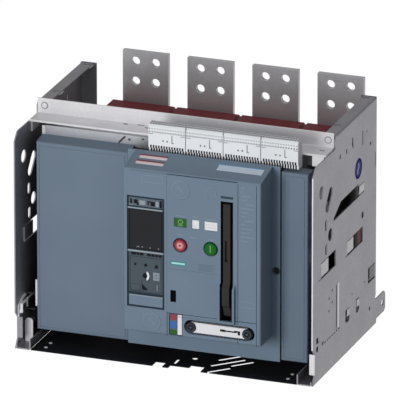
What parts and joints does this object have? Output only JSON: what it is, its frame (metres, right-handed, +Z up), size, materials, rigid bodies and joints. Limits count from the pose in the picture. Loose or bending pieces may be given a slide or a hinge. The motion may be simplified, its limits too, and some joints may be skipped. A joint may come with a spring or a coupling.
{
  "type": "withdrawable low-voltage air circuit breaker",
  "caption": "Withdrawable low-voltage air circuit breaker racked into its sheet steel guide frame, with control panel, charging handle, terminal blocks and rear busbar terminals",
  "frame": {"origin": "on the floor, half way across the frame and half way along its side plates", "axes": "+X to the operator's right, +Y to the rear terminals, +Z up"},
  "size_m": [0.59, 0.475, 0.459],
  "materials": {
    "galvanised_sheet": "zinc-coated sheet steel, dull grey",
    "bright_steel": "bright zinc-plated sheet steel",
    "black_sheet": "black powder-coated sheet",
    "plated_bar": "tin-plated copper, dull",
    "housing_moulding": "red-brown moulded thermoset",
    "terminal_plastic": "pale grey moulded plastic",
    "case_plastic": "dark grey moulded thermoset",
    "chute_plastic": "dark grey moulded plastic",
    "cover_plastic": "blue-grey moulded plastic, fine texture",
    "panel_plastic": "blue-grey moulded plastic, fine texture",
    "trip_plastic": "dark grey moulded plastic",
    "dark_plastic": "dark blue-grey glass-filled plastic",
    "green_plastic": "green moulded plastic",
    "red_plastic": "red moulded plastic"
  },
  "bodies": {
    "guide_frame": {"side_plate_left": "galvanised_sheet", "side_plate_right": "galvanised_sheet", "floor_plate": "black_sheet", "rail_channel_left": "galvanised_sheet", "rail_channel_right": "galvanised_sheet", "guide_rail_left": "bright_steel", "guide_rail_right": "bright_steel", "stop_tab": "bright_steel", "rail_latch": "bright_steel", "top_crossbar": "bright_steel", "rear_beam_upper": "galvanised_sheet", "rear_beam_lower": "galvanised_sheet", "contact_housing_1": "housing_moulding", "upper_terminal_bar_1": "plated_bar", "lower_terminal_bar_1": "plated_bar", "aux_terminal_block_1": "terminal_plastic", "contact_housing_2": "housing_moulding", "upper_terminal_bar_2": "plated_bar", "lower_terminal_bar_2": "plated_bar", "aux_terminal_block_2": "terminal_plastic", "contact_housing_3": "housing_moulding", "upper_terminal_bar_3": "plated_bar", "lower_terminal_bar_3": "plated_bar", "aux_terminal_block_3": "terminal_plastic", "contact_housing_4": "housing_moulding", "upper_terminal_bar_4": "plated_bar", "lower_terminal_bar_4": "plated_bar", "aux_terminal_block_4": "terminal_plastic"},
    "breaker": {"mechanism_box": "case_plastic", "switch_case": "case_plastic", "arc_chutes": "chute_plastic", "left_cover": "cover_plastic", "right_cover": "cover_plastic", "wiring_cover": "bright_steel", "runner_left": "bright_steel", "runner_right": "bright_steel", "upper_plug_contacts": "plated_bar", "lower_plug_contacts": "plated_bar", "operator_panel": "panel_plastic", "trip_unit": "trip_plastic", "racking_crank": "bright_steel"},
    "charging_handle": {"charging_handle": "dark_plastic"},
    "on_button": {"on_button": "green_plastic"},
    "off_button": {"off_button": "red_plastic"}
  },
  "joints": [
    {"name": "draw_out", "type": "slide", "parent": "guide_frame", "child": "breaker", "axis": [0, -1, 0], "range_m": [0, 0.088]},
    {"name": "charging_swing", "type": "hinge", "parent": "breaker", "child": "charging_handle", "pos_m": [0.1335, -0.1885, 0.1315], "axis": [1, 0, 0], "range_deg": [0, 65], "stiffness_Nm_per_rad": 0.8, "springref_deg": -8.59},
    {"name": "on_press", "type": "slide", "parent": "breaker", "child": "on_button", "axis": [0, 1, 0], "range_m": [0, 0.005], "stiffness_N_per_m": 900, "springref_m": -0.002},
    {"name": "off_press", "type": "slide", "parent": "breaker", "child": "off_button", "axis": [0, 1, 0], "range_m": [0, 0.005], "stiffness_N_per_m": 900, "springref_m": -0.002}
  ]
}
